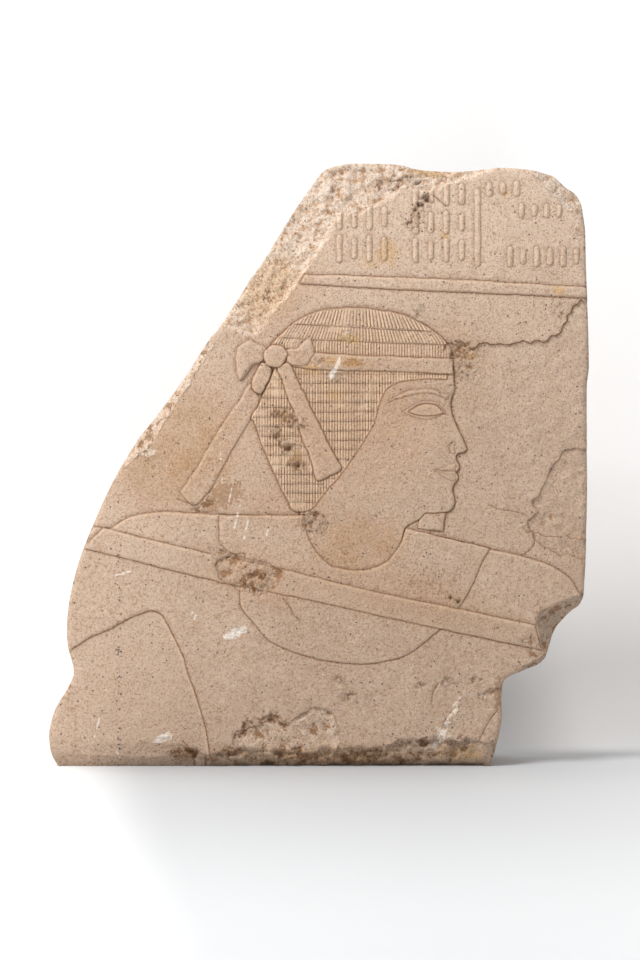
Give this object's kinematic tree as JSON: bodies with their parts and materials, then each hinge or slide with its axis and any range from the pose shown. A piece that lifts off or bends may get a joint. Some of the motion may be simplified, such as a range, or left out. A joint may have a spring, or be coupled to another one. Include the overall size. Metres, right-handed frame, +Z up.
{
  "type": "limestone relief fragment",
  "caption": "Broken upright block of pale limestone, its front carved in low raised relief with a head in profile, a rowed wig, headband, collar and sash; flat sawn back.",
  "frame": {"origin": "middle of the bounding box's footprint, on the ground under the block", "axes": "+Z up, -Y out of the carved face, +Y out of the sawn back, +X to the viewer's right"},
  "size_m": [0.543, 0.1044, 0.6054],
  "materials": {
    "limestone": "matt, weathered, warm buff with darker pits and ochre stains"
  },
  "bodies": {
    "root": {"relief_block": "limestone"}
  },
  "joints": []
}
